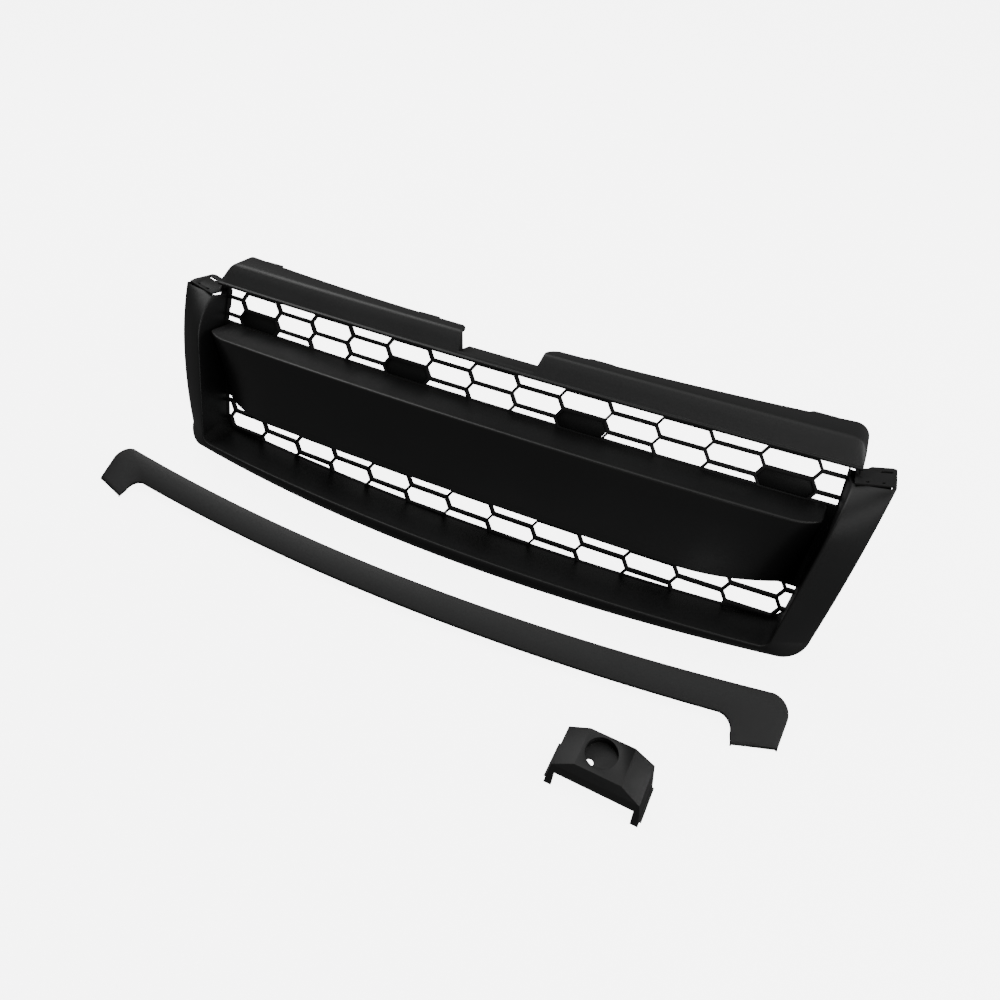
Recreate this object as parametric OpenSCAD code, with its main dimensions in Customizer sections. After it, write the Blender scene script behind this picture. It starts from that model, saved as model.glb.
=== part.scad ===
// Front grille kit for a large off-road vehicle: the grille body leans back on its three rear
// legs, and the loose nose trim strip and the loose camera housing lie on the floor before it.
// X runs across the grille, its front faces -Y and +Z is up. The origin is on the floor, under
// the foot pad of the middle leg. Inside placed() the axes are X across, Y back and Z up along
// the honeycomb, with the origin at the middle of the upper honeycomb window.

/* [Grille body] */
// Half of the width across the tops of the side posts
half_width = 506; // [500:1:512]
// Lean of the body as it stands on its legs, in degrees
lean = 25; // [23:0.5:27]
// Radius of the honeycomb and the bar in plan
plan_radius = 5400; // [5000:100:6000]
// Wall of the mouldings
wall = 3; // [2.6:0.1:3.2]

/* [Honeycomb] */
// Distance between columns of cells
pitch = 65; // [65:0.5:66]
// Height of one cell with its web
cell_h = 26.9; // [26:0.1:27.5]
// Web between two cells
web = 4; // [2:0.1:4.2]
// Depth of the honeycomb walls
mesh_depth = 8; // [6:0.5:9]

/* [Centre bar] */
// How far the bar stands in front of the honeycomb
bar_reach = 60; // [50:1:62]
// Height of the front edge of the bar's top shelf
bar_top = -34; // [-36:1:-32]
// Height of the bar's lower edge
bar_low = -132; // [-134:1:-130]

/* [Trim strip] */
// Width of the strip's band at its middle
strip_band = 35; // [32:1:38]
// Height of the strip's rear edge above the floor
strip_h = 23; // [22:0.5:26]
// Length of the hook at each end, beyond the band
hook_len = 27; // [24:1:28]

/* [Camera housing] */
// Width of the housing at its foot
housing_w = 110; // [106:1:114]
// Height of the housing's middle facet
housing_h = 34; // [32:1:36]
// Radius of the camera opening
camera_r = 18.5; // [17:0.5:19]

/* [Hidden] */
eps = 0.5;

// Where the body stands
floor_drop = 204;
foot_depth = 106;
foot_height = (foot_depth * sin(lean) - floor_drop) / cos(lean);
foot_y = foot_depth * cos(lean) + foot_height * sin(lean);

// Surround, right half, in front view: corner centres and radii, and the tops of the post
post_angle = -9.8;
rim_centre = [413.1, -187.5];
rim_r = 12;
foot_centre = [440, -181];
foot_r = 30;
seat_centre = [411, -168.3];
seat_r = 22;
post_in_top = [460, 14];
post_out_top = [half_width, 24];
face_round = 4;

// Fixing rows
panel_screw_x = [-384, -256, -128, 128, 256, 384];
panel_screw_u = 36.6;
bar_screw_x = [-340, -170, -60, 60, 170, 340];
bar_screw_u = [-33, -126];
rail_screw_x = [-370, -195, -65, 65, 195, 370];
post_screw_u = [-150, -60];
leg_x = [-260, 0, 260];
leg_screw_x = 15;
leg_screw_u = -126;
screw_r = 2;
pilot_r = 2.1;
boss_r = 5;
head_r = 4;

// Tabs on the rear edge of the top panel: half spacings of the hole pairs
tab_x = [-414, -129, 129, 414];
tab_hole_r = 3.2;
tab_half = 17;
tab_reach = 11;
tab_hole_depth = 4.4;
tab_sink = 1.3;

// Trim strip on the floor
strip_x = -41;
strip_y = -204;
strip_slope = 0.28;
strip_corner_r = 22;
strip_fillet_r = 18;
strip_plan_r = 3150;
strip_clip_x = [-380, -190, 0, 190, 380];

// Camera housing on the floor
housing_x = 292;
housing_turn = -2;
housing_y = -371;

function plan(x) = x * x / (2 * plan_radius);
function mix(a, b, t) = a + (b - a) * t;
function ray(angle, r) = r * [cos(angle), sin(angle)];
function unit(v) = v / norm(v);
function flatten(rows) = [for (row = rows) each row];
function at3(p, depth) = [p.x, depth, p.y];
function span(from, to, n) = [for (i = [0 : n]) mix(from, to, i / n)];

module placed() {
    translate([0, -foot_y, floor_drop]) rotate([-lean, 0, 0]) children();
}

// A shell between two stacks of rings: skin is the seen side and back is the hidden one. A stack
// whose rings run the other way round is turned.
module shell_loft(skin, back, turned = false) {
    n = len(skin);
    k = len(skin[0]);
    b = n * k;
    across = [for (i = [0 : n - 2]) for (j = [0 : k - 2]) each [
        [i * k + j, i * k + j + 1, (i + 1) * k + j + 1],
        [i * k + j, (i + 1) * k + j + 1, (i + 1) * k + j],
        [b + i * k + j, b + (i + 1) * k + j + 1, b + i * k + j + 1],
        [b + i * k + j, b + (i + 1) * k + j, b + (i + 1) * k + j + 1]
    ]];
    edges = [for (i = [0 : n - 2]) each [
        [i * k, (i + 1) * k, b + (i + 1) * k],
        [i * k, b + (i + 1) * k, b + i * k],
        [i * k + k - 1, b + (i + 1) * k + k - 1, (i + 1) * k + k - 1],
        [i * k + k - 1, b + i * k + k - 1, b + (i + 1) * k + k - 1]
    ]];
    e = (n - 1) * k;
    ends = [for (j = [0 : k - 2]) each [
        [j, b + j + 1, j + 1],
        [j, b + j, b + j + 1],
        [e + j, e + j + 1, b + e + j + 1],
        [e + j, b + e + j + 1, b + e + j]
    ]];
    faces = concat(across, edges, ends);
    polyhedron(
        concat(flatten(skin), flatten(back)),
        turned ? [for (t = faces) [t[0], t[2], t[1]]] : faces
    );
}

// Surround: s runs from 0 at the middle of the rail, past 1 and 2 at the corner, to 3 at the top
function rim(s) =
    s <= 1 ? [rim_centre.x * s, -202 + pow(rim_centre.x * s, 2) / 70000]
    : s <= 2 ? rim_centre + ray(mix(-90, post_angle, s - 1), rim_r)
    : mix(rim_centre + ray(post_angle, rim_r), post_in_top, s - 2);
function roll(u) = u < -50 ? 0 : 75 - sqrt(75 * 75 - pow(u + 50, 2));
function rim_depth(s) =
    s <= 1 ? -83 + pow(rim(s).x, 2) / 4500 : -45 + roll(rim(s).y);
function outer(s) =
    s <= 1 ? [foot_centre.x * s, -222 + pow(foot_centre.x * s, 2) / 17600]
    : s <= 2 ? foot_centre + ray(mix(-90, post_angle, s - 1), foot_r)
    : mix(foot_centre + ray(post_angle, foot_r), post_out_top, s - 2);
function post_depth(u) = -28 + pow(u + 75, 2) / (u < -75 ? 1027 : 784);
function outer_depth(s) =
    s <= 1 ? -77 + pow(outer(s).x, 2) / 4500
    : s <= 2 ? mix(-34, post_depth(-186), s - 1)
    : post_depth(outer(s).y);
function seat_x(u) = 455 + min(0, (u + 25) * 0.1517);
function seat(s) =
    s <= 1 ? [seat_centre.x * s, -201.5 + pow(seat_centre.x * s, 2) / 15000]
    : s <= 2 ? seat_centre + ray(mix(-90, post_angle, s - 1), seat_r)
    : [seat_x(mix(-172, 31, s - 2)), mix(-172, 31, s - 2)];
function hem(s) =
    s <= 1 ? outer(s) - [0, 3.5]
    : s <= 2 ? foot_centre + ray(mix(-90, post_angle, s - 1), foot_r + mix(3.5, 1, s - 1))
    : outer(s) + [1, 0];
function hem_depth(s) =
    s <= 1 ? -9 + plan(hem(s).x)
    : s <= 2 ? mix(-9 + plan(foot_centre.x), post_depth(-186) + 22, s - 1)
    : post_depth(outer(s).y) + 22;

function surround_skin(s) =
    let (i = at3(rim(s), rim_depth(s)), o = at3(outer(s), outer_depth(s)))
    let (m = at3(seat(s), plan(seat(s).x) - eps), h = at3(hem(s), hem_depth(s)))
    let (out = unit([o.x - i.x, 0, o.z - i.z]), f = face_round / norm(o - i))
    [
        m,
        i + [0, face_round, 0],
        i + 0.3 * face_round * (out + [0, 1, 0]),
        mix(i, o, f),
        mix(i, o, 0.5) - [0, 1.5, 0],
        mix(i, o, 1 - f),
        o + 0.3 * face_round * ([0, 1, 0] - out),
        o + [0, face_round, 0],
        h
    ];
function surround_back(s) =
    let (p = surround_skin(s), out = unit(at3(outer(s) - rim(s), 0)), in = [0, wall, 0])
    [
        p[0] + wall * out,
        p[1] + wall * out,
        p[2] + 0.7 * (wall * out + in),
        p[3] + in,
        p[4] + in,
        p[5] + in,
        p[6] + 0.7 * (in - wall * out),
        p[7] - wall * out,
        p[8] - wall * out
    ];
function flip(ring) = [for (p = ring) [-p.x, p.y, p.z]];
surround_s = concat(span(0, 1, 11), [for (i = [1 : 7]) 1 + i / 7], [for (i = [1 : 12]) 2 + i / 12]);
function both_sides(right) =
    concat([for (i = [len(right) - 1 : -1 : 1]) flip(right[i])], right);

// A boss that stands forward from the plane just before the honeycomb
module boss(x, u, long) {
    translate([x, plan(x) - eps, u]) rotate([90, 0, 0]) difference() {
        cylinder(h = long, r = boss_r, $fn = 40);
        translate([0, 0, -1]) cylinder(h = long - 2, r = pilot_r, $fn = 32);
    }
}

// Clear hole through the honeycomb plate
module pilot(x, u, depth = mesh_depth) {
    translate([x, plan(x) + depth + 1, u]) rotate([90, 0, 0])
        cylinder(h = depth + 2, r = pilot_r, $fn = 32);
}

// Pan head screw from behind, its shank forward of the seat it sits on
module rear_screw(x, u, seat_depth, shank) {
    translate([x, plan(abs(x) + head_r) + seat_depth + 0.1, u]) rotate([90, 0, 0]) {
        cylinder(h = shank, r = screw_r, $fn = 32);
        difference() {
            translate([0, 0, -2.6]) cylinder(h = 2.6, r = head_r, $fn = 40);
            translate([0, 0, -3.6]) cylinder(h = 2.2, r = 1.5, $fn = 6);
        }
    }
}

function post_boss_x(u) = seat_x(u) + wall + 4;
function rail_boss_u(x) = -201.5 + x * x / 15000 - 7.5;

module surround() {
    color([0.10, 0.10, 0.105]) placed() {
        shell_loft(
            both_sides([for (s = surround_s) surround_skin(s)]),
            both_sides([for (s = surround_s) surround_back(s)]), true
        );
        for (x = rail_screw_x) boss(x, rail_boss_u(x), 14);
        for (side = [-1, 1]) for (u = post_screw_u) boss(side * post_boss_x(u), u, 14);
    }
}

// Top panel: lip, leaning face, crease and rear flange
panel_half = 466;
panel_end_r = 20;
function end_drop(x) =
    let (over = abs(x) - (panel_half - panel_end_r))
    over <= 0 ? 0 : panel_end_r - sqrt(max(0, panel_end_r * panel_end_r - over * over));
function flange_depth(x) = 37 + x * x / 6500;
function flange_u(x) = 64.4 + x * x / 26000;
function panel_skin(x) =
    let (c = plan(x), top = 64 - end_drop(x))
    [
        [x, c - eps, 31.5],
        [x, c - 6.5, 29.5],
        [x, c - 8.5, 31.5],
        [x, c + mix(-8.5, 8.6, 0.5) - 0.5, mix(31.5, top - 2.5, 0.5)],
        [x, c + 8.6, top - 2.5],
        [x, c + 10.5, top - 0.5],
        [x, c + 13.5, top],
        [x, flange_depth(x), flange_u(x) - end_drop(x)]
    ];
function panel_back(x) =
    let (p = panel_skin(x * (panel_half - wall) / panel_half))
    [
        p[0] + [0, 0, wall],
        p[1] + [0, 1.9, 5],
        p[2] + [0, 2.9, 1.5],
        p[3] + [0, 2.6, -1.5],
        p[4] + [0, 2.6, -1.5],
        p[5] + [0, 1.6, -2.6],
        p[6] + [0, 0, -wall],
        p[7] + [0, 0, -wall]
    ];
panel_stations = concat(span(0, 440, 11), [446, 452, 457, 461, 464, 465.6]);

// Notch between the two horns, where the camera housing stands
gap_low = 55;
gap_top = 62;
horn_round = 30;
horn_end = 14;
side_cut = 40;
ledge_u = 38;

module top_panel() {
    color([0.17, 0.17, 0.175]) placed() {
        difference() {
            union() {
                shell_loft(
                    both_sides([for (x = panel_stations) panel_skin(x)]),
                    both_sides([for (x = panel_stations) panel_back(x)])
                );
                for (x = tab_x) translate([x, flange_depth(x) - 1, flange_u(x) - tab_sink - wall])
                    linear_extrude(wall) tab_outline();
            }
            for (x = tab_x) translate([x, flange_depth(x) + tab_hole_depth, flange_u(x) - 3 * wall])
                cylinder(h = 4 * wall, r = tab_hole_r, $fn = 48);
            translate([0, 100, 0]) rotate([90, 0, 0]) linear_extrude(130)
                polygon([[-gap_low, ledge_u], [gap_low, ledge_u], [gap_top, 72], [-gap_top, 72]]);
            for (side = [-1, 1]) translate([side * gap_top, horn_end, 50]) linear_extrude(30)
                horn_cut(side);
        }
        translate([-gap_low - 2, -4, ledge_u - wall]) cube([2 * gap_low + 4, 42, wall - 0.5]);
        for (side = [-1, 1]) on_side(side) intersection() {
            translate([0, 60, 0]) rotate([90, 0, 0]) linear_extrude(100) polygon([
                [gap_low + 0.1, ledge_u - 2], [gap_low + wall, ledge_u - 2],
                [gap_top + wall - 1.2, 62], [gap_top - 1.4, 62]
            ]);
            across(200) polygon([[-4, 34], [-3.5, ledge_u], [horn_end - 3.8, 62], [horn_end - 0.5, 62], [horn_end - 0.5, 34]]);
        }
        for (x = panel_screw_x) boss(x, panel_screw_u, 4.5);
    }
}

// Round cut that takes the corner off a horn's flange
module horn_cut(side) {
    difference() {
        translate([side > 0 ? -12 : 12 - side_cut, 0]) square([side_cut, horn_round]);
        translate([side * (horn_round - 2), 0]) circle(r = horn_round, $fn = 96);
    }
}
module on_side(side) {
    mirror([side < 0 ? 1 : 0, 0, 0]) children();
}
module tab_outline() {
    polygon([
        [-tab_half - 4, 0], [-tab_half, tab_reach - 2], [-tab_half + 3, tab_reach],
        [tab_half - 3, tab_reach], [tab_half, tab_reach - 2], [tab_half + 4, 0]
    ]);
}

// Centre bar: shelf, crease, hollowed face, lower edge and underside, with swept-back ends
bar_half = 443.5;
bar_taper = 0.00027;
function crease_sweep(x) =
    let (over = max(0, abs(x) - 405))
    59 - sqrt(59 * 59 - over * over);
function crease_depth(x) = plan(x) - bar_reach + crease_sweep(x);
function crease_u(x) = bar_top + pow(max(0, abs(x) - 405), 2) / 324;
function low_depth(x) = plan(x) - bar_reach - 6 + pow(max(0, abs(x) - 302), 2) / 314;
function bar_face(x, t) =
    let (k = [x, crease_depth(x), crease_u(x)], l = [x, min(low_depth(x), plan(x) - 4), bar_low])
    mix(k, l, t) + [0, 16 * t * (1 - t), 0];
function bar_skin(x) =
    let (rear = plan(x) - eps, k = bar_face(x, 0), l = bar_face(x, 1))
    [
        [x, rear, -25],
        [x, mix(k.y, rear, 0.08), mix(k.z, -25, 0.08)],
        bar_face(x, 0) + [0, 1, -0.5],
        bar_face(x, 0.04),
        bar_face(x, 0.25),
        bar_face(x, 0.5),
        bar_face(x, 0.75),
        bar_face(x, 0.96),
        [x, l.y + 3, bar_low - 1],
        [x, rear, bar_low - 2]
    ];
function bar_end(x) = [for (p = bar_skin(x)) [x, plan(x) - eps, p.z]];

// The bar narrows downwards with the posts
function narrow(ring) = [for (p = ring)
    let (x = p.x * (1 + bar_taper * min(0, p.z - bar_top)))
    [x, p.y + plan(x) - plan(p.x), p.z]];
bar_in = [
    [0, 0, -1], [0, 0.3, -1], [0, 0.8, -0.8], [0, 1, 0], [0, 1, 0],
    [0, 1, 0], [0, 1, 0], [0, 1, 0], [0, 0.4, 1], [0, 0, 1]
];
function bar_back(ring) = [for (j = [0 : len(ring) - 1])
    let (p = ring[j], q = p + wall * bar_in[j], rear = plan(p.x) - eps)
    [q.x * (bar_half - wall) / bar_half, min(q.y, rear), q.z]];
bar_stations = concat(span(0, 300, 6), [320, 340, 360, 380, 395, 405, 415, 424, 432, 438, 442]);
bar_rings = concat([for (x = bar_stations) narrow(bar_skin(x))], [narrow(bar_end(bar_half))]);

module centre_bar() {
    color([0.12, 0.12, 0.125]) placed() {
        shell_loft(both_sides(bar_rings), both_sides([for (r = bar_rings) bar_back(r)]), true);
        for (x = bar_screw_x) for (u = bar_screw_u) boss(x, u, 16);
        for (x = leg_x) for (side = [-1, 1]) boss(x + side * leg_screw_x, leg_screw_u, 16);
    }
}

// Honeycomb: long flat-topped cells, every second column half a cell up
tip = pitch / 2 + 2.2;
shoulder = pitch / 2 - 4.8;
columns = [-7 : 7];
blank_columns = [-6, -2, 2, 6];
function cell_rows(k) = abs(k) % 2 == 1 ? [-8 : 2] : [-7.5 : 1.5];
module cell(shrink = 0) {
    h = (cell_h - web) / 2 - shrink;
    polygon([
        [tip - shrink, 0], [shoulder - shrink / 2, h], [-shoulder + shrink / 2, h],
        [-tip + shrink, 0], [-shoulder + shrink / 2, -h], [shoulder - shrink / 2, -h]
    ]);
}
function seat_outline(inset) = concat(
    [for (i = [0 : 6]) seat(i / 6)],
    [for (i = [1 : 5]) seat(1 + i / 5)],
    [[seat_x(-139), -139]]
);
module lower_window() {
    right = seat_outline(0);
    left = [for (i = [len(right) - 1 : -1 : 1]) [-right[i].x, right[i].y]];
    polygon(concat(left, right));
}
module upper_window() {
    translate([-453.5, -24]) square([907, 55]);
}
module mesh_outline() {
    edge = concat(
        [for (i = [0 : 8]) seat(i / 8) - [0, 13.5]],
        [for (i = [1 : 5]) seat_centre + ray(mix(-90, post_angle, i / 5), seat_r + 13)],
        [[seat_x(-60) + 12, -60], [467, -20], [467, 13], [458, 15], [452, 40]],
        [[gap_low + 6, 40], [gap_low + 6, ledge_u - wall - 0.5]]
    );
    left = [for (i = [len(edge) - 1 : -1 : 1]) [-edge[i].x, edge[i].y]];
    polygon(concat(left, edge));
}
module plan_band(front, depth, low, high) {
    xs = span(-480, 480, 24);
    translate([0, 0, low]) linear_extrude(high - low) polygon(concat(
        [for (x = xs) [x, plan(x) + front]],
        [for (i = [24 : -1 : 0]) [xs[i], plan(xs[i]) + front + depth]]
    ));
}
module upright(depth) {
    translate([0, depth, 0]) rotate([90, 0, 0]) linear_extrude(depth + 20) children();
}

module mesh_insert() {
    color([0.05, 0.05, 0.055]) placed() difference() {
        intersection() {
            plan_band(0, mesh_depth, -225, 45);
            upright(60) difference() {
                mesh_outline();
                intersection() {
                    union() {
                        upper_window();
                        lower_window();
                    }
                    for (k = columns) for (row = cell_rows(k))
                        translate([k * pitch, row * cell_h]) cell();
                }
            }
        }
        for (x = panel_screw_x) pilot(x, panel_screw_u);
        for (x = bar_screw_x) for (u = bar_screw_u) pilot(x, u);
        for (x = rail_screw_x) pilot(x, rail_boss_u(x));
        for (x = leg_x) for (side = [-1, 1]) pilot(x + side * leg_screw_x, leg_screw_u);
        for (side = [-1, 1]) for (u = concat(post_screw_u, [bracket_screw_u]))
            pilot(side * post_boss_x(u), u);
    }
}

module mesh_blanks() {
    color([0.13, 0.13, 0.135]) placed() intersection() {
        plan_band(3, 2.5, -30, 5);
        upright(60) intersection() {
            translate([-453.3, -23.8]) square([906.6, 54]);
            for (k = blank_columns) translate([k * pitch, -cell_h / 2]) cell(0.25);
        }
    }
}

// Bracket on the top of a post: plate with a slot and two holes, rear tongue and gusset
plate_origin = [484, -2, 22.6];
plate_tilt = [4.7, -13.5, 0];
bracket_hole_x = [-8.5, 8.5];
bracket_hole_r = 2.2;
bracket_slot_x = 12;
bracket_slot_y = 35;
bracket_screw_u = 8;
front_edge_drop = 7;
module post_bracket() {
    translate(plate_origin) rotate(plate_tilt) {
        difference() {
            linear_extrude(2.5) polygon([
                [-22, -7], [20, -7], [23, 6], [24, 46], [20, 50], [-4, 50], [-8, 44], [-22, 40]
            ]);
            for (x = bracket_hole_x) translate([x, 0, -1])
                cylinder(h = 5, r = bracket_hole_r, $fn = 40);
            translate([bracket_slot_x, bracket_slot_y, -1]) linear_extrude(5) slot_outline();
        }
        // Edge turned down behind the top of the post, which closes the joint between the two
        translate([-17, -5.2, -front_edge_drop]) cube([34, 2.2, front_edge_drop + 1.2]);
        translate([-18, 16, 2.4]) rotate([90, 0, 90]) linear_extrude(2.5)
            polygon([[0, 0], [24, 0], [24, 12], [18, 20]]);
    }
    difference() {
        translate([455, plan(467) + mesh_depth + 0.3, -6]) cube([20, 2.5, 28.5]);
        translate([post_boss_x(bracket_screw_u), 60, bracket_screw_u]) rotate([90, 0, 0]) cylinder(h = 60, r = pilot_r, $fn = 32);
    }
}
module slot_outline() {
    translate([-4.5, 0]) circle(r = 3.2, $fn = 40);
    translate([4.5, 0]) circle(r = 3.2, $fn = 40);
    square([9, 6.4], center = true);
}
module right_post_bracket() {
    color([0.16, 0.16, 0.165]) placed() post_bracket();
}
module left_post_bracket() {
    color([0.16, 0.16, 0.165]) placed() mirror([1, 0, 0]) post_bracket();
}

// Rear legs: a flange screwed to the back of the honeycomb, an I-shaped arm and a level foot
leg_half = 13;
leg_web = 1.5;
arm_half = 7;
flange_half = 22;
pad_half = 7;
pad_thick = 2;
root = mesh_depth + 0.2;
function floor_u(depth) = (depth * sin(lean) - floor_drop) / cos(lean);
function pad_u(depth) = floor_u(depth) + pad_thick / cos(lean);
function leg_raise(x) = plan(x) * tan(lean);
module arm_profile() {
    polygon([
        [root + 1, -110], [root + 1, -138], [foot_depth - pad_half, pad_u(foot_depth - pad_half)],
        [foot_depth + pad_half, pad_u(foot_depth + pad_half)], [foot_depth + pad_half, -158]
    ]);
}
module arm_pocket() {
    polygon([[root + 3, -115], [root + 3, -135.5], [foot_depth - 12, -170], [foot_depth - 4, -157.5]]);
}
module foot_profile() {
    front = foot_depth - pad_half;
    rear = foot_depth + pad_half;
    polygon([[front, pad_u(front)], [rear, pad_u(rear)], [rear, pad_u(rear) + 4], [front, pad_u(front) + 4]]);
}
module across(half, from = 0) {
    rotate([90, 0, 90]) translate([0, 0, from]) linear_extrude(half) children();
}
module rear_leg(x) {
    translate([x, plan(x), leg_raise(x)]) {
        difference() {
            across(2 * arm_half, -arm_half) arm_profile();
            across(20, leg_web) arm_pocket();
            across(20, -20 - leg_web) arm_pocket();
        }
        across(2 * leg_half, -leg_half) foot_profile();
    }
    difference() {
        intersection() {
            plan_band(root, wall, leg_raise(x) - 138, leg_raise(x) - 110);
            translate([x - flange_half, 0, -200]) cube([2 * flange_half, 60, 200]);
        }
        for (side = [-1, 1]) pilot(x + side * leg_screw_x, leg_screw_u, root + wall);
    }
}
module rear_legs() {
    color([0.09, 0.09, 0.095]) placed() for (x = leg_x) rear_leg(x);
}
module leg_pads() {
    color([0.03, 0.03, 0.03]) for (x = leg_x)
        translate([x - leg_half, plan(x) / cos(lean) - pad_half + 1, 0])
            cube([2 * leg_half, 2 * pad_half - 2, pad_thick - 0.05]);
}

module panel_screws() {
    color([0.35, 0.35, 0.36]) placed() for (x = panel_screw_x)
        rear_screw(x, panel_screw_u, mesh_depth, mesh_depth + 1.2);
}
module bar_screws() {
    color([0.35, 0.35, 0.36]) placed() for (x = bar_screw_x) for (u = bar_screw_u)
        rear_screw(x, u, mesh_depth, mesh_depth + 10);
}
module rail_screws() {
    color([0.35, 0.35, 0.36]) placed() for (x = rail_screw_x)
        rear_screw(x, rail_boss_u(x), mesh_depth, mesh_depth + 8);
}
module post_screws() {
    color([0.35, 0.35, 0.36]) placed() for (side = [-1, 1]) {
        for (u = post_screw_u) rear_screw(side * post_boss_x(u), u, mesh_depth, mesh_depth + 8);
        rear_screw(side * post_boss_x(bracket_screw_u), bracket_screw_u, mesh_depth + 3.2, mesh_depth + 3);
    }
}
module leg_screws() {
    color([0.35, 0.35, 0.36]) placed() for (x = leg_x) for (side = [-1, 1])
        rear_screw(x + side * leg_screw_x, leg_screw_u, mesh_depth + 3.4, mesh_depth + 13);
}

// Soft buffers stuck under the rear flange of the top panel
module panel_buffers() {
    color([0.03, 0.03, 0.03]) placed() for (x = [-330, -215, 215, 330])
        translate([x - 15, flange_depth(x) - 13, flange_u(x) - wall - 6.6]) cube([30, 10, 4]);
}

// Trim strip: s runs from 0 at its middle, past 1 and 2 at the corner, to 3 at the hook's end
function strip_rear(x) = strip_y + x * x / (2 * strip_plan_r);
function strip_front(x) = strip_y - strip_band + x * x / 6600;
strip_half = half_width + 2;
strip_corner = [strip_half - strip_corner_r, strip_rear(strip_half - strip_corner_r) - strip_corner_r];
strip_fillet = [433, strip_front(433) - strip_fillet_r];
hook_out = [strip_half - 3, strip_fillet.y - hook_len + strip_fillet_r + 16];
hook_in = [454, strip_fillet.y - hook_len + strip_fillet_r];
function strip_out(s) =
    s <= 1 ? [strip_corner.x * s, strip_rear(strip_corner.x * s)]
    : s <= 2 ? strip_corner + ray(90 * (2 - s), strip_corner_r)
    : mix(strip_corner + [strip_corner_r, 0], hook_out, s - 2);
function strip_in(s) =
    s <= 1 ? [strip_fillet.x * s, strip_front(strip_fillet.x * s)]
    : s <= 2 ? strip_fillet + ray(90 * (2 - s), strip_fillet_r)
    : mix(strip_fillet + [strip_fillet_r, 0], hook_in, s - 2);
function strip_top(p) = strip_h - strip_slope * (strip_rear(p.x) - p.y);
function on_strip(p, lift) = [p.x, p.y, strip_top(p) + lift];
function strip_skin(s) =
    let (o = strip_out(s), i = strip_in(s), w = unit(o - i), a = o - 1.2 * w, b = i + 1.2 * w)
    [
        [o.x, o.y, 0],
        on_strip(o, -2),
        on_strip(a, -0.4),
        on_strip(mix(o, i, 0.25), 0.6),
        on_strip(mix(o, i, 0.6), 0.7),
        on_strip(b, -0.4),
        on_strip(i, -2),
        on_strip(i, -3.6)
    ];
function strip_back(s) =
    let (p = strip_skin(s), v = strip_out(s) - strip_in(s), w = 2.2 * unit([v.x, v.y, 0]))
    let (d = [0, 0, -2.4])
    [
        p[0] - w, p[1] - w + [0, 0, -0.8], p[2] - 0.6 * w + d, p[3] + d, p[4] + d,
        p[5] + 0.5 * w + d, p[6] + w + [0, 0, -0.8], p[7] + w
    ];
strip_s = concat(span(0, 1, 12), [for (i = [1 : 6]) 1 + i / 6], [for (i = [1 : 4]) 2 + i / 4]);

module trim_strip() {
    color([0.17, 0.17, 0.175]) translate([strip_x, -foot_y, 0]) {
        shell_loft(
            both_sides([for (s = strip_s) strip_skin(s)]),
            both_sides([for (s = strip_s) strip_back(s)]), true
        );
        translate([0, 0, strip_h - 7]) linear_extrude(2.4) {
            right = [for (i = [0 : 12]) strip_out(i / 12)];
            line = concat([for (i = [12 : -1 : 1]) [-right[i].x, right[i].y]], right);
            polygon(concat(
                [for (p = line) p - [0, 1]],
                [for (i = [len(line) - 1 : -1 : 0]) line[i] + [0, 3.5]]
            ));
        }
    }
}
module strip_clips() {
    color([0.42, 0.42, 0.43]) translate([strip_x, -foot_y, 0]) for (x = strip_clip_x)
        translate([x - 7, strip_rear(x) - 13.5, 0.3]) difference() {
            cube([14, 10.5, strip_h - 7.4]);
            translate([-1, 1.2, -1]) cube([16, 8.1, strip_h - 7.6]);
        }
}
module strip_pads() {
    color([0.03, 0.03, 0.03]) translate([strip_x, -foot_y, 0]) for (x = [-285, -95, 95, 285])
        translate([x - 20, strip_rear(x) - 16, 0]) cube([40, 10, strip_h - 7.6]);
}

// Camera housing: folded hood, open below and behind, with the camera opening in its top
hood_side = 25;
hood_back = 48;
fold_half = 27;
hole_at = [-5, 42];
peg_x = 40;
seat_low = 20;
lead_hole_r = 4.5;
module hood_front(shrink) {
    w = housing_w / 2 - shrink;
    top = housing_h - shrink;
    polygon([
        [-w, -1], [w, -1], [w, 1], [w - 4, hood_side - shrink / 2], [fold_half - shrink / 3, top],
        [-fold_half + shrink / 3, top], [-w + 4, hood_side - shrink / 2], [-w, 1]
    ]);
}
module hood_block(shrink, back) {
    front = 1.2 * shrink;
    intersection() {
        translate([0, 90, 0]) rotate([90, 0, 0]) linear_extrude(100) hood_front(shrink);
        rotate([90, 0, 90]) translate([0, 0, -60]) linear_extrude(120) polygon([
            [front, 0], [back, 0], [back + 19, 40], [front + 19, 40], [front + 17, housing_h - shrink],
            [front + 10, hood_side - shrink], [front + 7, 12]
        ]);
    }
}
module on_floor_right() {
    translate([housing_x, housing_y - foot_y, 0]) rotate([0, 0, housing_turn]) children();
}
module camera_housing() {
    color([0.17, 0.17, 0.175]) on_floor_right() difference() {
        union() {
            difference() {
                hood_block(0, hood_back);
                translate([0, 0, -0.01]) hood_block(2.5, hood_back + 20);
                translate([-46, -5, -1]) cube([92, 22, 15]);
            }
            for (side = [-1, 1]) translate([side * (housing_w / 2 + 0.5) - 1.5, 6, 0])
                cube([3, hood_back - 6, 2.2]);
        }
        translate([hole_at.x, hole_at.y, housing_h - 10]) cylinder(h = 20, r = camera_r, $fn = 96);
        translate([-60, -1, -5]) cube([120, 80, 5]);
    }
}
module housing_gasket() {
    color([0.03, 0.03, 0.03]) on_floor_right() translate([hole_at.x, hole_at.y, housing_h - 4.9])
        difference() {
            cylinder(h = 2.3, r = camera_r + 2.4, $fn = 96);
            translate([0, 0, -1]) cylinder(h = 5, r = camera_r + 0.2, $fn = 96);
        }
}
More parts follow.
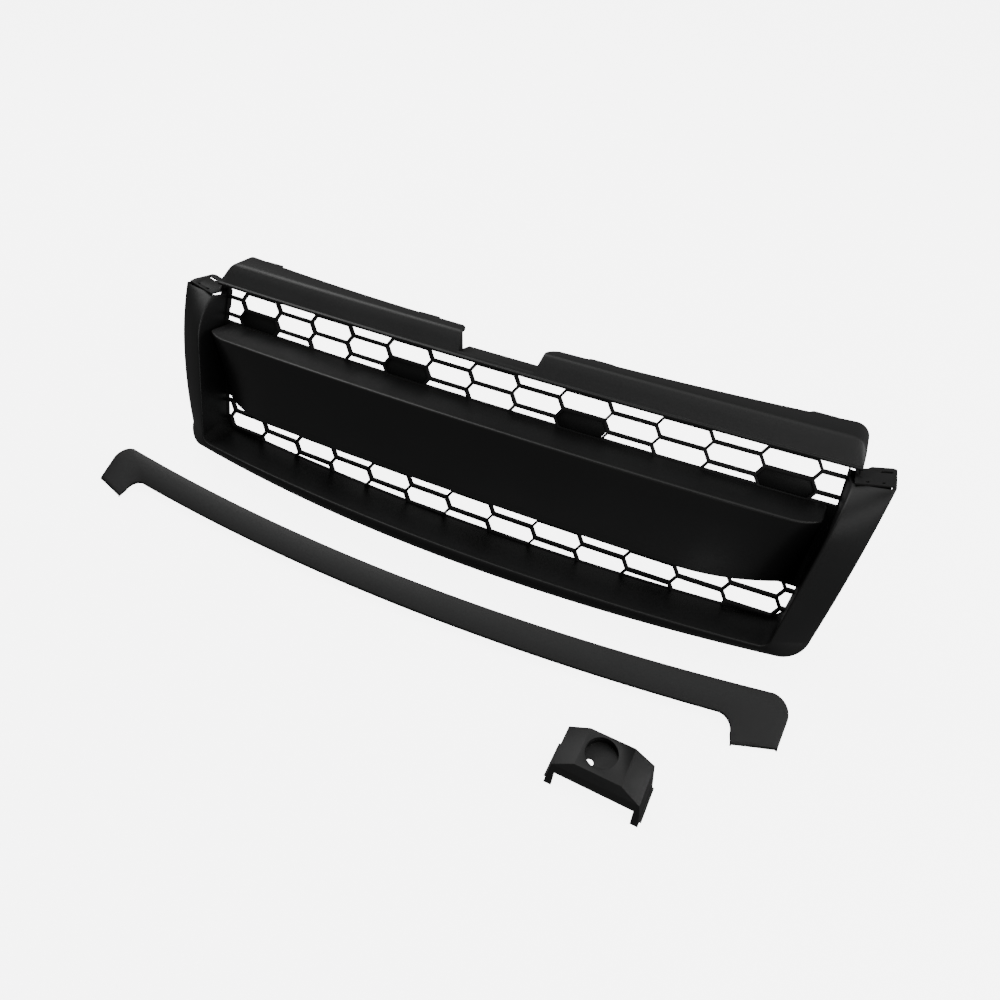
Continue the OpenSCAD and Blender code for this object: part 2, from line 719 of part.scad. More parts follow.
// Shallow cup under the opening: the camera sits in it and its lead leaves through the floor
module camera_seat() {
    color([0.03, 0.03, 0.03]) on_floor_right() translate([hole_at.x, hole_at.y, seat_low])
        difference() {
            cylinder(h = housing_h - 5 - seat_low, r = camera_r + 2.2, $fn = 96);
            translate([0, 0, 2]) cylinder(h = housing_h, r = camera_r + 0.3, $fn = 96);
            translate([-9.8, -9.8, -1]) cylinder(h = 4, r = lead_hole_r, $fn = 48);
        }
}
module housing_pegs() {
    color([0.10, 0.10, 0.105]) on_floor_right() for (side = [-1, 1])
        translate([side * peg_x, 20, 0]) {
            cylinder(h = 23, r = 2.6, $fn = 40);
            cylinder(h = 2, r = 4, $fn = 40);
        }
}

surround();
top_panel();
centre_bar();
mesh_insert();
mesh_blanks();
left_post_bracket();
right_post_bracket();
rear_legs();
panel_screws();
bar_screws();
rail_screws();
post_screws();
leg_screws();
panel_buffers();
leg_pads();
trim_strip();
strip_clips();
strip_pads();
camera_housing();
housing_gasket();
camera_seat();
housing_pegs();
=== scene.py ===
# %% [markdown]
# # A honeycomb front grille with its loose trim strip and camera housing
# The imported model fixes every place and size. This script dresses that frame: it lofts the big
# black mouldings as smooth thin shells, softens the edges of the smaller parts, and gives every
# surface a finish of its own. All lengths are in metres once they leave the drawing helpers.

# %% Load the frame
import math

import bpy
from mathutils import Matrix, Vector


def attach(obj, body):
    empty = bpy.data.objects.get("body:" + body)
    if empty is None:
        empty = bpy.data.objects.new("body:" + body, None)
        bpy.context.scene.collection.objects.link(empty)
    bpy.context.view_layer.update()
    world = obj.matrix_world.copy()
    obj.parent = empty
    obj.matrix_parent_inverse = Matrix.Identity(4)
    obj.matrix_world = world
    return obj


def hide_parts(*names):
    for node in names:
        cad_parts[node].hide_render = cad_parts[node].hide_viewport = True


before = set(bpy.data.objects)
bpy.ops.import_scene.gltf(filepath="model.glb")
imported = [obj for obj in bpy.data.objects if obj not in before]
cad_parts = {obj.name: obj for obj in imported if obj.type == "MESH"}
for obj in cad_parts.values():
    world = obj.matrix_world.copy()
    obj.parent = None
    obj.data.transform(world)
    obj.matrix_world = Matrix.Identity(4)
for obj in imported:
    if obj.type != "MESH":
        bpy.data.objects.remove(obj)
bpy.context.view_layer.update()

# %% [markdown]
# ## Camera
# A catalogue view from the front right and well above shows the depth of the bar and the whole
# of the honeycomb. The camera looks at the middle of the upper window, and a small shift of the
# lens moves the loose parts in the foreground into the picture.

# %% Place the camera
EYE = Vector((0.3865, -0.8424, 0.9546))
TARGET = Vector((0.0, -0.0218, 0.204))
lens = bpy.data.cameras.new("camera")
lens.lens = 31.68
lens.sensor_width = 36
lens.shift_x = 0.0088
lens.shift_y = -0.1119
camera = bpy.data.objects.new("camera", lens)
camera.location = EYE
camera.rotation_euler = (TARGET - EYE).to_track_quat("-Z", "Y").to_euler()
bpy.context.collection.objects.link(camera)
bpy.context.scene.camera = camera
print("camera at", [round(v, 3) for v in EYE])

# %% [markdown]
# ## Small helpers
# An operator works on everything that is selected, so each step starts by clearing the
# selection and picking its own piece.


# %% Selection and modifiers
def pick(piece):
    bpy.ops.object.select_all(action="DESELECT")
    piece.select_set(True)
    bpy.context.view_layer.objects.active = piece


def edit(piece, step, **settings):
    """Runs one edit mode operator on the whole of a piece."""
    pick(piece)
    bpy.ops.object.mode_set(mode="EDIT")
    bpy.ops.mesh.select_all(action="SELECT")
    step(**settings)
    bpy.ops.object.mode_set(mode="OBJECT")


def apply(piece, kind, **settings):
    pick(piece)
    modifier = piece.modifiers.new(kind.title(), kind)
    for name, value in settings.items():
        setattr(modifier, name, value)
    bpy.ops.object.modifier_apply(modifier=modifier.name)


def soften(piece, width, segments=2, angle=28):
    """Rounds the edges that turn by more than the angle, then shades the rest smooth."""
    apply(
        piece,
        "BEVEL",
        width=width,
        segments=segments,
        limit_method="ANGLE",
        angle_limit=math.radians(angle),
        miter_outer="MITER_ARC",
    )
    pick(piece)
    bpy.ops.object.shade_smooth_by_angle(angle=math.radians(35))


def hand_over(piece, nodes, body, finish):
    """The piece stands for its CAD nodes, rides on their body and takes its finish."""
    piece.data.materials.clear()
    piece.data.materials.append(finish)
    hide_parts(*nodes)
    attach(piece, body)
    print(piece.name, len(piece.data.polygons), "faces")


# %% [markdown]
# ## Shader arithmetic
# A finish is easier to read as a formula than as a list of nodes. Shade wraps one socket, so
# that adding or scaling it adds the Math node, and Recipe builds one material.


# %% Shader helpers
class Shade:
    def __init__(self, recipe, socket):
        self.recipe = recipe
        self.socket = socket

    def _maths(self, operation, first, second):
        node = self.recipe.node("ShaderNodeMath", {"operation": operation}, {0: first, 1: second})
        return Shade(self.recipe, node.outputs[0])

    def __add__(self, other):
        return self._maths("ADD", self, other)

    def __radd__(self, other):
        return self._maths("ADD", other, self)

    def __sub__(self, other):
        return self._maths("SUBTRACT", self, other)

    def __rsub__(self, other):
        return self._maths("SUBTRACT", other, self)

    def __mul__(self, other):
        return self._maths("MULTIPLY", self, other)

    def __rmul__(self, other):
        return self._maths("MULTIPLY", other, self)


class Recipe:
    def __init__(self, name):
        self.material = bpy.data.materials.new(name)
        self.material.use_nodes = True
        self.tree = self.material.node_tree
        self.shader = self.tree.nodes["Principled BSDF"]
        self.place = self.node("ShaderNodeTexCoord").outputs["Object"]

    def node(self, kind, settings=None, inputs=None):
        node = self.tree.nodes.new(kind)
        for name, value in (settings or {}).items():
            setattr(node, name, value)
        for key, value in (inputs or {}).items():
            self.feed(node.inputs[key], value)
        return node

    def feed(self, socket, value):
        if isinstance(value, Shade):
            self.tree.links.new(value.socket, socket)
        elif isinstance(value, bpy.types.NodeSocket):
            self.tree.links.new(value, socket)
        else:
            socket.default_value = value

    def noise(self, scale, detail=2.0, stretch=(1, 1, 1)):
        place = self.node("ShaderNodeMapping", None, {"Vector": self.place, "Scale": stretch})
        node = self.node(
            "ShaderNodeTexNoise",
            None,
            {"Vector": place.outputs[0], "Scale": scale, "Detail": detail},
        )
        return Shade(self, node.outputs["Fac"])

    def cells(self, scale):
        node = self.node("ShaderNodeTexVoronoi", None, {"Vector": self.place, "Scale": scale})
        return Shade(self, node.outputs["Distance"])

    def blend(self, amount, dark, light):
        node = self.node(
            "ShaderNodeMix",
            {"data_type": "RGBA"},
            {"Factor": amount, "A": (*dark, 1), "B": (*light, 1)},
        )
        return node.outputs["Result"]

    def bump(self, height, strength, distance):
        node = self.node(
            "ShaderNodeBump", None, {"Height": height, "Strength": strength, "Distance": distance}
        )
        return node.outputs["Normal"]

    def set(self, **values):
        for name, value in values.items():
            self.feed(self.shader.inputs[name.replace("_", " ")], value)


def grey(value, warmth=0.0):
    return (value * (1 + warmth), value, value * (1 - warmth))


# %% [markdown]
# ## Moulded black plastic
# The mouldings are textured black plastic. The tool has an etched grain of fine pits about half
# a millimetre apart, which scatters the light and makes black look grey where it faces a lamp.
# Cell noise gives the pits, finer noise roughens the lands, and a slow cloudy change of gloss
# stands for handling and the flow of the melt.


# %% Grained plastic
def grained_plastic(name, dark, light, rough, grain=1500, depth=0.6, specular=0.5):
    recipe = Recipe(name)
    cloud = recipe.noise(9.0, 3.0)
    flow = recipe.noise(26.0, 2.0, (0.35, 1, 1))
    pits = recipe.cells(grain)
    dust = recipe.noise(grain * 1.7, 2.0)
    height = pits * 0.7 + dust * 0.5
    recipe.set(
        Base_Color=recipe.blend(cloud * 0.6 + pits * 0.5, grey(dark), grey(light, -0.012)),
        Roughness=(cloud - 0.5) * 0.12 + (flow - 0.5) * 0.08 + (dust - 0.5) * 0.1 + rough,
        Specular_IOR_Level=specular,
        Normal=recipe.bump(height, depth, 0.00012),
    )
    return recipe.material


moulding_black = grained_plastic("moulding_black", 0.0075, 0.0125, 0.46)
bar_black = grained_plastic("bar_black", 0.005, 0.0085, 0.42, grain=1900, depth=0.45)
trim_black = grained_plastic("trim_black", 0.0085, 0.014, 0.5)
mesh_black = grained_plastic("mesh_black", 0.003, 0.006, 0.55, grain=2200, depth=0.35)
bracket_black = grained_plastic("bracket_black", 0.007, 0.012, 0.5, grain=2000, depth=0.4)
print("plastics", [m.name for m in (moulding_black, bar_black, trim_black, mesh_black)])

# %% [markdown]
# ## Zinc, spring steel and rubber
# The hidden screws are zinc plated, with a faint cloudy passivation. The clips are oiled spring
# steel, drawn along their length. The pads are soft black foam rubber with open pores.


# %% Metals and rubber
def plated_steel(name, dark, light, rough, stretch):
    recipe = Recipe(name)
    cloud = recipe.noise(120.0, 3.0)
    draw = recipe.noise(900.0, 2.0, stretch)
    recipe.set(
        Base_Color=recipe.blend(cloud, grey(dark, 0.01), grey(light, 0.03)),
        Metallic=1.0,
        Roughness=(draw - 0.5) * 0.2 + rough,
        Normal=recipe.bump(draw, 0.2, 0.00005),
    )
    return recipe.material


def soft_rubber(name):
    recipe = Recipe(name)
    pores = recipe.cells(1100.0)
    cloud = recipe.noise(60.0, 2.0)
    recipe.set(
        Base_Color=recipe.blend(cloud, grey(0.008), grey(0.014)),
        Roughness=(cloud - 0.5) * 0.1 + 0.85,
        Normal=recipe.bump(pores, 0.6, 0.0003),
    )
    return recipe.material


zinc = plated_steel("zinc_plate", 0.42, 0.6, 0.34, (1, 1, 1))
spring = plated_steel("spring_steel", 0.2, 0.3, 0.3, (0.1, 1, 1))
rubber = soft_rubber("foam_rubber")
print("fixings", zinc.name, spring.name, rubber.name)

# %% [markdown]
# ## Drawing frame
# The body leans back by 25 degrees on its rear legs. Its drawing axes are x across, d backwards
# and u upwards along the honeycomb, in millimetres, from the middle of the upper window. Every
# part follows one plan curve, so that its depth is counted from a shallow arc.

# %% Stand a drawing point on the floor
LEAN = math.radians(25)
FLOOR_DROP = 204.0
FOOT_DEPTH = 106.0
FOOT_Y = (FOOT_DEPTH - FLOOR_DROP * math.sin(LEAN)) / math.cos(LEAN)
WALL = 3.0
REAR = 0.5
MM = 0.001


def stand(p):
    x, d, u = p
    return Vector(
        (
            x * MM,
            (d * math.cos(LEAN) + u * math.sin(LEAN) - FOOT_Y) * MM,
            (u * math.cos(LEAN) - d * math.sin(LEAN) + FLOOR_DROP) * MM,
        )
    )


def arc_depth(x):
    return x * x / 10800.0


def mix(a, b, t):
    return a + (b - a) * t


def spaced(start, end, count):
    return [mix(start, end, i / count) for i in range(count + 1)]


def on_circle(centre, radius, degrees):
    a = math.radians(degrees)
    return Vector((centre[0] + radius * math.cos(a), centre[1] + radius * math.sin(a)))


print("foot to origin", round(FOOT_Y, 3), "mm")

# %% [markdown]
# ## Lofted shells
# A moulding is a thin wall that follows one cross-section along its length. A grid primitive is
# wrapped over a list of such sections, row by row, and Solidify then gives it the wall. Corners
# of the section are rounded first, because the light on the rounded corners is what shows the
# shape of a black part.


# %% Sections and lofts
def rounded(points, radii, steps=5):
    """A section through the points, with a soft curve of the given reach at each inner one."""
    out = [points[0]]
    for before, corner, after, reach in zip(points, points[1:], points[2:], radii):
        if reach == 0:
            out.append(corner)
            continue
        a = corner + (before - corner).normalized() * reach
        b = corner + (after - corner).normalized() * reach
        for i in range(steps + 1):
            t = i / steps
            out.append(a * (1 - t) ** 2 + corner * 2 * t * (1 - t) + b * t * t)
    out.append(points[-1])
    return out


def both_sides(right):
    """Adds the mirror image of the right-hand sections, from the left end to the right one."""
    left = [[Vector((-p.x, p.y, p.z)) for p in ring] for ring in reversed(right[1:])]
    return left + right


def loft(name, rings, outward, wall):
    """Wraps a grid over the sections, turns its faces outward and gives it its wall."""
    rows, cols = len(rings) - 1, len(rings[0]) - 1
    bpy.ops.object.select_all(action="DESELECT")
    bpy.ops.mesh.primitive_grid_add(x_subdivisions=rows, y_subdivisions=cols, size=2)
    piece = bpy.context.object
    piece.name = piece.data.name = name
    for v in piece.data.vertices:
        i = round((v.co.x + 1) / 2 * rows)
        j = round((v.co.y + 1) / 2 * cols)
        v.co = rings[i][j]
    mean = sum((p.normal * p.area for p in piece.data.polygons), Vector())
    if mean.dot(Vector(outward)) < 0:
        edit(piece, bpy.ops.mesh.flip_normals)
    apply(
        piece,
        "SOLIDIFY",
        thickness=wall * MM,
        offset=-1,
        use_even_offset=True,
        use_quality_normals=True,
    )
    return piece


def plate(name, outline, push):
    """A flat plate: an outline of points, filled and extruded by a vector."""
    bpy.ops.object.select_all(action="DESELECT")
    bpy.ops.mesh.primitive_circle_add(vertices=len(outline), radius=1, fill_type="NGON")
    piece = bpy.context.object
    piece.name = piece.data.name = name
    for v, p in zip(piece.data.vertices, outline):
        v.co = p
    edit(
        piece,
        bpy.ops.mesh.extrude_region_move,
        TRANSFORM_OT_translate={"value": tuple(push)},
    )
    edit(piece, bpy.ops.mesh.normals_make_consistent, inside=False)
    return piece


def cut(piece, cutter):
    apply(piece, "BOOLEAN", object=cutter, operation="DIFFERENCE", solver="EXACT")
    bpy.data.objects.remove(cutter)


def join(main, others):
    pick(main)
    for other in others:
        other.select_set(True)
    bpy.ops.object.join()


# %% [markdown]
# ## Surround
# One U-shaped moulding frames the honeycomb: a rail along the bottom and a post up each side,
# joined by a rounded corner. Its section has an inner wall that runs back to the honeycomb, a
# broad face, and an outer wall that ends in a thin hem. The posts lean outwards and their faces
# sweep back towards the top. Lofting the section along the path keeps one skin all the way round.

# %% Path of the surround
POST_ANGLE = -9.8
RIM_CENTRE, RIM_R = (413.1, -187.5), 12.0
FOOT_CENTRE, FOOT_R = (440.0, -181.0), 30.0
SEAT_CENTRE, SEAT_R = (411.0, -168.3), 22.0
POST_IN_TOP = Vector((460.4, 16.6))
POST_OUT_TOP = Vector((505.8, 26.8))


def path(s, centre, radius, rail, top):
    """s is 0 at the middle of the rail, 1 to 2 round the corner, and 3 at the top of the post."""
    if s <= 1:
        x = centre[0] * s
        return Vector((x, rail(x)))
    if s <= 2:
        return on_circle(centre, radius, mix(-90, POST_ANGLE, s - 1))
    return on_circle(centre, radius, POST_ANGLE).lerp(top, s - 2)


def rim(s):
    return path(s, RIM_CENTRE, RIM_R, lambda x: -202 + x * x / 70000, POST_IN_TOP)


def outer(s):
    return path(s, FOOT_CENTRE, FOOT_R, lambda x: -222 + x * x / 17600, POST_OUT_TOP)


def seat_x(u):
    return 455 + min(0, (u + 25) * 0.1517)


def seat(s):
    if s > 2:
        u = mix(-172, 18, s - 2)
        return Vector((seat_x(u), u))
    return path(s, SEAT_CENTRE, SEAT_R, lambda x: -201.5 + x * x / 15000, POST_IN_TOP)


def post_depth(u):
    return -28 + (u + 75) ** 2 / (1027 if u < -75 else 784)


def rim_depth(s):
    p = rim(s)
    if s <= 1:
        return -83 + p.x * p.x / 4500
    return -45 + (0 if p.y < -50 else 75 - math.sqrt(75 * 75 - (p.y + 50) ** 2))


def outer_depth(s):
    p = outer(s)
    if s <= 1:
        return -77 + p.x * p.x / 4500
    if s <= 2:
        return mix(-34, post_depth(-186), s - 1)
    return post_depth(p.y)


def hem(s):
    p = outer(s)
    if s <= 1:
        return Vector((p.x, -9 + arc_depth(p.x), p.y - 3.5))
    if s <= 2:
        q = on_circle(FOOT_CENTRE, FOOT_R + mix(3.5, 1, s - 1), mix(-90, POST_ANGLE, s - 1))
        return Vector((q.x, mix(-9 + arc_depth(440), post_depth(-186) + 22, s - 1), q.y))
    return Vector((p.x + 1, post_depth(p.y) + 22, p.y))


print("rail to post", [round(v, 1) for v in (*rim(0), *rim(3))])


# %% Loft the surround
def surround_section(s):
    i, o, m = rim(s), outer(s), seat(s)
    inner = Vector((i.x, rim_depth(s), i.y))
    front = Vector((o.x, outer_depth(s), o.y))
    back = Vector((m.x, arc_depth(m.x) - REAR, m.y))
    bulge = [
        inner.lerp(front, t) - Vector((0, 6 * t * (1 - t), 0)) for t in (0.25, 0.4, 0.5, 0.6, 0.75)
    ]
    points = [back, inner, *bulge, front, hem(s)]
    return [stand(p) for p in rounded(points, [3.6, 0, 0, 0, 0, 0, 4.5], 6)]


path_steps = spaced(0, 1, 60) + spaced(1, 2, 18)[1:] + spaced(2, 3, 40)[1:]
surround_rings = both_sides([surround_section(s) for s in path_steps])
surround = loft("surround_moulding", surround_rings, (0, -1, 0.3), WALL)
soften(surround, 0.0005, 2, 50)
hand_over(surround, ["surround"], "grille", moulding_black)

# %% [markdown]
# ## Top panel
# The top panel is a leaning face with a rolled lip along its lower edge and a flange that runs
# back to the bonnet. Its ends turn down round a generous corner. The middle is cut away for the
# camera housing, which leaves two horns with a closed end wall each.

# %% Section of the top panel
PANEL_HALF = 468.0
END_R = 20.0
GAP_LOW, GAP_TOP, LEDGE = 55.0, 62.0, 38.0


def flange_depth(x):
    return 37 + x * x / 6500


def flange_u(x):
    return 64.4 + x * x / 26000


def panel_section(x, drop):
    c, top = arc_depth(x), 64 - drop
    foot = Vector((x, c - 6.4, 34.4))
    crease = Vector((x, c + 9.8, top))
    points = [
        Vector((x, c - REAR, 31.0)),
        Vector((x, c - 9.0, 29.2)),
        Vector((x, c - 9.6, 33.2)),
        foot,
        foot.lerp(crease, 0.5) - Vector((0, 0.5, 0)),
        crease,
        Vector((x, flange_depth(x), flange_u(x) - drop)),
    ]
    return [stand(p) for p in rounded(points, [2.0, 1.6, 0.7, 0, 5.0], 5)]


stations = [(x, 0.0) for x in spaced(0, PANEL_HALF - END_R, 56)]
stations += [
    (PANEL_HALF - END_R + END_R * math.sin(a), END_R * (1 - math.cos(a)))
    for a in (math.radians(6 * k) for k in range(1, 15))
]
print("panel stations", len(stations))

# %% Loft the top panel, its tabs and its ledge
panel_rings = both_sides([panel_section(x, d) for x, d in stations])
panel = loft("top_panel_moulding", panel_rings, (0, -0.6, 1), WALL)


def prism(name, outline, low, high):
    """A cutter or rib: an outline in x and u, from one depth to another."""
    return plate(
        name,
        [stand((x, low, u)) for x, u in outline],
        stand((0, high, 0)) - stand((0, low, 0)),
    )


notch_outline = [(-GAP_LOW, LEDGE), (GAP_LOW, LEDGE), (GAP_TOP, 74), (-GAP_TOP, 74)]
cut(panel, prism("notch", notch_outline, -30, 80))


def horn_round(side):
    """The corner that the flange of each horn has lost, as an outline in x and depth."""
    centre = Vector((GAP_TOP + 28, 14))
    arc = [on_circle(centre, 30, a) for a in range(180, 89, -6)]
    outline = [Vector((GAP_TOP - 16, 14)), *arc, Vector((GAP_TOP - 16, 44))]
    return [stand((side * p.x, p.y, 50)) for p in outline]


for side in (-1, 1):
    cut(panel, plate("horn_cut", horn_round(side), stand((0, 0, 30)) - stand((0, 0, 0))))


def tab_outline(x):
    return [
        (x - 21, -1),
        (x - 17, 7.5),
        (x - 15.6, 9.2),
        (x - 13, 10),
        (x + 13, 10),
        (x + 15.6, 9.2),
        (x + 17, 7.5),
        (x + 21, -1),
    ]


extras = []
for x in (-414, -129, 129, 414):
    top = flange_u(x) - 1.3
    outline = [stand((a, flange_depth(x) + b, top - WALL)) for a, b in tab_outline(x)]
    tab = plate("tab", outline, stand((0, 0, WALL)) - stand((0, 0, 0)))
    hole = [on_circle((x, flange_depth(x) + 4.4), 3.2, a) for a in range(0, 360, 10)]
    hole_outline = [stand((p.x, p.y, top - 9)) for p in hole]
    cut(tab, plate("hole", hole_outline, stand((0, 0, 12)) - stand((0, 0, 0))))
    extras.append(tab)
ledge = [(-GAP_LOW - 2, -4.5), (GAP_LOW + 2, -4.5), (GAP_LOW + 2, 38), (-GAP_LOW - 2, 38)]
extras.append(
    plate(
        "ledge",
        [stand((a, b, LEDGE - 3)) for a, b in ledge],
        stand((0, 0, 2.6)) - stand((0, 0, 0)),
    )
)


def end_wall(side):
    """The wall that closes a horn: it follows the slope of the face and of the notch."""
    edge = [(GAP_LOW + 0.3, LEDGE - 1.5, -3.6), (GAP_TOP - 1.6, 61.5, 10.6)]
    outline = [
        (edge[0][0], edge[0][2], edge[0][1]),
        (edge[1][0], edge[1][2], edge[1][1]),
        (edge[1][0], 13.5, edge[1][1]),
        (edge[0][0], 13.5, edge[0][1]),
    ]
    return plate("end_wall", [stand((side * x, d, u)) for x, d, u in outline], (side * 2.6 * MM, 0, 0))


extras += [end_wall(-1), end_wall(1)]
join(panel, extras)
soften(panel, 0.0004, 2, 50)
hand_over(panel, ["top_panel"], "grille", moulding_black)

# %% [markdown]
# ## Centre bar
# The bar is the deepest part: a shelf that slopes forward from the honeycomb, a crisp but
# rounded crease, a slightly hollow face and a lower edge that runs back underneath. At both ends
# the crease sweeps back until the bar meets the posts.

# %% Section of the bar
BAR_HALF = 443.5
BAR_REACH = 60.0
BAR_TOP, BAR_LOW = -34.0, -132.0


def crease_sweep(x):
    over = max(0.0, x - 405)
    return 59 - math.sqrt(max(0.0, 59 * 59 - over * over))


def bar_section(x, close=0.0):
    c = arc_depth(x)
    rear = c - REAR
    top = Vector((x, c - BAR_REACH + crease_sweep(x), BAR_TOP + max(0.0, x - 405) ** 2 / 324))
    low_depth = min(c - BAR_REACH - 6 + max(0.0, x - 302) ** 2 / 314, c - 4)
    low = Vector((x, low_depth, BAR_LOW))
    face = [top.lerp(low, t) + Vector((0, 16 * t * (1 - t), 0)) for t in (0.2, 0.35, 0.5, 0.65, 0.8)]
    points = [Vector((x, rear, -25)), top, *face, low, Vector((x, rear, BAR_LOW - 2))]
    out = []
    for p in rounded(points, [4.2, 0, 0, 0, 0, 0, 3.5], 6):
        depth = mix(p.y, rear, close)
        narrow = x * (1 + 0.00027 * min(0, p.z - BAR_TOP))
        out.append(stand((narrow, depth + arc_depth(narrow) - c, p.z)))
    return out


bar_stations = spaced(0, 400, 40) + spaced(400, 440, 20)[1:]
sections = [bar_section(x) for x in bar_stations]
for t in spaced(0, 1, 8)[1:]:
    sections.append(bar_section(mix(440, BAR_HALF, t), 1 - math.sqrt(1 - t * t)))
bar = loft("centre_bar_moulding", both_sides(sections), (0, -1, 0.3), WALL)
soften(bar, 0.0004, 2, 60)
hand_over(bar, ["centre_bar"], "grille", bar_black)

# %% [markdown]
# ## Honeycomb and the other exact parts
# The honeycomb insert, the brackets and the legs already have their true shape, with holes and
# cells in the right places. A copy of each is welded, its flat triangles are merged back into
# whole faces, and its edges get the small radius that every moulding tool leaves.


# %% Refine a copy of a node
WELD = 0.000002
FLAT = math.radians(0.08)


def refined(node, name, width, segments=2, angle=28):
    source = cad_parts[node]
    piece = bpy.data.objects.new(name, source.data.copy())
    piece.data.name = name
    bpy.context.collection.objects.link(piece)
    edit(piece, bpy.ops.mesh.remove_doubles, threshold=WELD)
    edit(piece, bpy.ops.mesh.dissolve_limited, angle_limit=FLAT)
    soften(piece, width, segments, angle)
    return piece


GRILLE_COPIES = [
    ("mesh_insert", "honeycomb_insert", 0.0004, "black_mesh", mesh_black),
    ("mesh_blanks", "honeycomb_blanks", 0.0006, "black_mesh", mesh_black),
    ("left_post_bracket", "left_bracket", 0.0004, "black_bracket", bracket_black),
    ("right_post_bracket", "right_bracket", 0.0004, "black_bracket", bracket_black),
    ("rear_legs", "moulded_legs", 0.0007, "black_bracket", bracket_black),
    ("leg_pads", "foot_pads", 0.0005, "soft_rubber", rubber),
    ("panel_buffers", "flange_buffers", 0.001, "soft_rubber", rubber),
]
for node, name, width, slot, finish in GRILLE_COPIES:
    hand_over(refined(node, name, width), [node], "grille", finish)

# %% [markdown]
# ## Loose trim strip
# The strip is a long bowed band that slopes down towards its front edge, with a short hook at
# each end. It lies on the floor on its rear wall. It is lofted in the same way, along a path that
# turns through the hook.

# %% Path of the strip
STRIP_X, STRIP_Y = -41.0, -204.0
STRIP_BAND, STRIP_H, STRIP_SLOPE = 35.0, 23.0, 0.28
CORNER_R, FILLET_R, HOOK = 22.0, 18.0, 27.0
STRIP_HALF = 508.0
STRIP_WALL = 2.2
CAP_LOW = (STRIP_WALL + 0.4) * MM


def strip_rear(x):
    return STRIP_Y + x * x / 6300


def strip_front(x):
    return STRIP_Y - STRIP_BAND + x * x / 6600


corner_at = Vector((STRIP_HALF - CORNER_R, strip_rear(STRIP_HALF - CORNER_R) - CORNER_R))
fillet_at = Vector((433.0, strip_front(433) - FILLET_R))
hook_out = Vector((STRIP_HALF - 3, fillet_at.y - HOOK + FILLET_R + 16))
hook_in = Vector((454.0, fillet_at.y - HOOK + FILLET_R))


def strip_edge(s, centre, radius, run, end):
    if s <= 1:
        return Vector((centre.x * s, run(centre.x * s)))
    if s <= 2:
        return on_circle(centre, radius, 90 * (2 - s))
    return (centre + Vector((radius, 0))).lerp(end, s - 2)


def strip_section(s):
    o = strip_edge(s, corner_at, CORNER_R, strip_rear, hook_out)
    i = strip_edge(s, fillet_at, FILLET_R, strip_front, hook_in)

    def lifted(p, lift):
        return Vector((p.x, p.y, STRIP_H - STRIP_SLOPE * (strip_rear(p.x) - p.y) + lift))

    points = [
        Vector((o.x, o.y, 0)),
        lifted(o, 0),
        lifted(o.lerp(i, 0.3), 1.0),
        lifted(o.lerp(i, 0.6), 1.0),
        lifted(i, 0),
        lifted(i, -3.6),
    ]
    place = Vector((STRIP_X, -FOOT_Y, 0))
    return [(p + place) * MM for p in rounded(points, [2.4, 0, 0, 1.6], 5)]


def local_x(ring):
    return [Vector((2 * STRIP_X * MM - p.x, p.y, p.z)) for p in ring]


def closing(ring, reach, drop):
    """A copy of the last section, moved past the end of the hook and lowered."""
    return [p + Vector((0, -reach * MM, min(0, max(-drop * MM, CAP_LOW - p.z)))) for p in ring]


strip_steps = spaced(0, 1, 70) + spaced(1, 2, 14)[1:] + spaced(2, 3, 8)[1:]
right_half = [strip_section(s) for s in strip_steps]
end = right_half[-1]
# How far each closing section reaches past the hook, and how far it drops
HOOK_CAP = [(1.2, 0.5), (2.2, 1.6), (2.7, 3.4), (2.9, 30)]
right_half += [closing(end, reach, drop) for reach, drop in HOOK_CAP]
strip_rings = [local_x(ring) for ring in reversed(right_half[1:])] + right_half
strip = loft("trim_strip_moulding", strip_rings, (0, 0, 1), STRIP_WALL)
soften(strip, 0.0004, 2, 60)
hand_over(strip, ["trim_strip"], "trim_strip", trim_black)
STRIP_COPIES = [
    ("strip_pads", "strip_foam", 0.001, "soft_rubber", rubber),
    ("strip_clips", "strip_spring_clips", 0.0003, "spring_steel", spring),
]
for node, name, width, slot, finish in STRIP_COPIES:
    hand_over(refined(node, name, width), [node], "trim_strip", finish)

# %% [markdown]
# ## Camera housing
# The small hood is folded from flat facets with soft creases. Its roof has the round opening
# for the camera, and two pegs stand inside. A shallow dark cup hangs below the opening, shaped
# as a seat for the camera: it is painted shade, a dark part that stands for the shadow inside the
# hood.

# %% Refine the housing
HOUSING_COPIES = [
    ("camera_housing", "camera_hood", 0.0011, "black_trim", trim_black),
    ("housing_gasket", "camera_gasket", 0.0004, "soft_rubber", rubber),
    # The cup below the opening is painted shade: a dark part that stands for the shadow inside the
    # hood.
    ("camera_seat", "shade_cup", 0.0004, "black_mesh", mesh_black),
    ("housing_pegs", "hood_pegs", 0.0004, "black_bracket", bracket_black),
]
for node, name, width, slot, finish in HOUSING_COPIES:
    hand_over(refined(node, name, width, 3, 14), [node], "camera_housing", finish)

# %% [markdown]
# ## Screws
# The screws are small exact parts already, so they stay as they are and take the zinc finish.

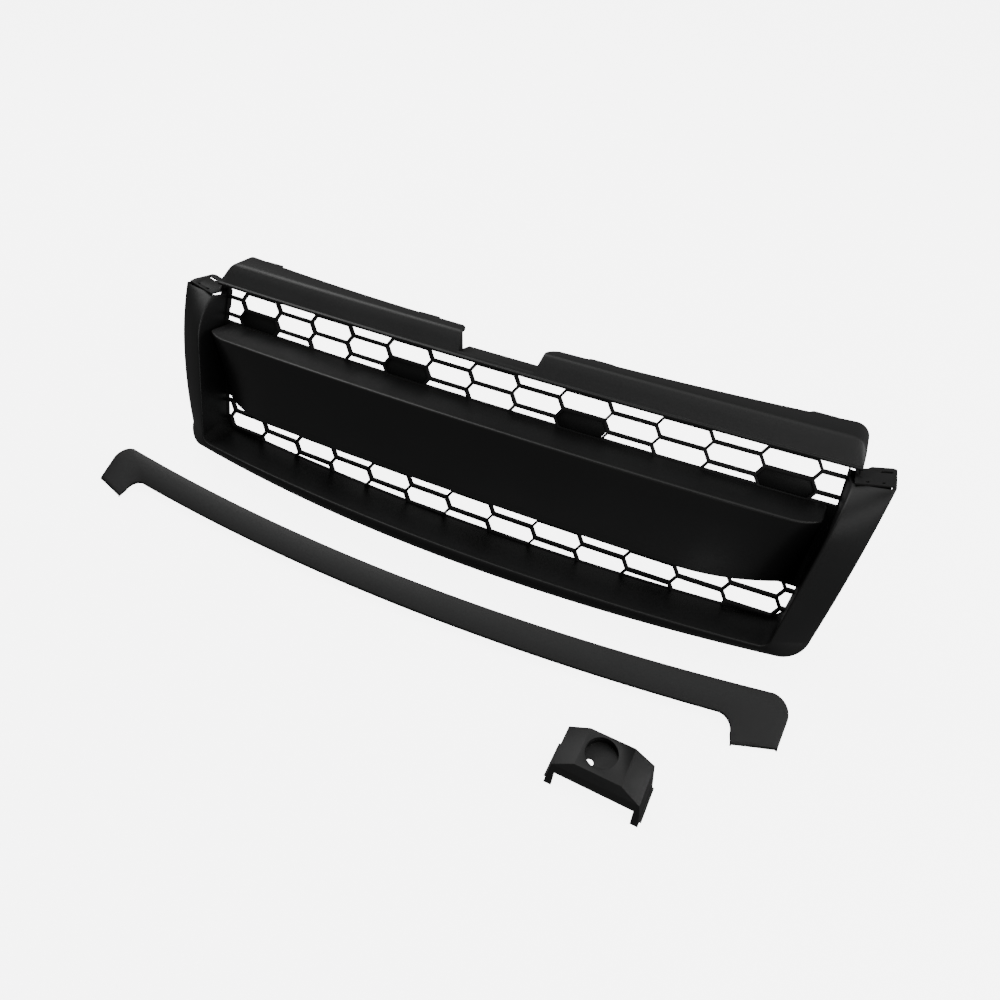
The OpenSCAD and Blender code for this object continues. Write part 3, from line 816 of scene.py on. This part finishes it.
# %% Finish the screws
for node in ("panel_screws", "bar_screws", "rail_screws", "post_screws", "leg_screws"):
    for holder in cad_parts[node].material_slots:
        holder.link = "OBJECT"
        holder.material = zinc
print("screws finished")

# %% [markdown]
# ## Floor and light
# A pale floor, an even white surround and four large soft lamps: one behind the left shoulder of
# the part, which draws the bright edges, one above, a weak one at the front, and one at the
# right, which lights the walls that face it.


# %% Light the studio
STUDIO_GLOW = 0.15
FLOOR_GLOW = 6.0


def soft_lamp(name, place, aim, size, power):
    data = bpy.data.lights.new(name, "AREA")
    data.shape = "RECTANGLE"
    data.size, data.size_y = size
    data.energy = power
    lamp = bpy.data.objects.new(name, data)
    lamp.location = place
    lamp.rotation_euler = (Vector(aim) - Vector(place)).to_track_quat("-Z", "Y").to_euler()
    bpy.context.collection.objects.link(lamp)


soft_lamp("key", (-1.5, 0.9, 2.0), (0, 0, 0.1), (1.6, 1.2), 25)
soft_lamp("top", (0.2, 0.3, 2.4), (0, 0, 0), (2.2, 1.6), 12)
soft_lamp("fill", (1.6, -1.4, 1.4), (0.1, 0, 0.1), (1.4, 1.4), 9)
soft_lamp("side", (1.9, 0.2, 0.9), (0.5, 0, 0.1), (0.9, 0.9), 14)

world = bpy.data.worlds.new("studio")
world.use_nodes = True
world.node_tree.nodes["Background"].inputs["Color"].default_value = (1, 1, 1, 1)
world.node_tree.nodes["Background"].inputs["Strength"].default_value = STUDIO_GLOW
bpy.context.scene.world = world

# %% Lay the floor
bpy.ops.object.select_all(action="DESELECT")
bpy.ops.mesh.primitive_plane_add(size=30, location=(0, 0, 0))
floor = bpy.context.object
floor.name = "floor"
floor.visible_diffuse = False
floor.visible_glossy = False
floor_white = bpy.data.materials.new("floor_white")
floor_white.use_nodes = True
paint = floor_white.node_tree.nodes["Principled BSDF"]
paint.inputs["Base Color"].default_value = (0.9, 0.9, 0.9, 1)
paint.inputs["Roughness"].default_value = 0.9
paint.inputs["Emission Color"].default_value = (1, 1, 1, 1)
paint.inputs["Emission Strength"].default_value = FLOOR_GLOW
floor.data.materials.append(floor_white)
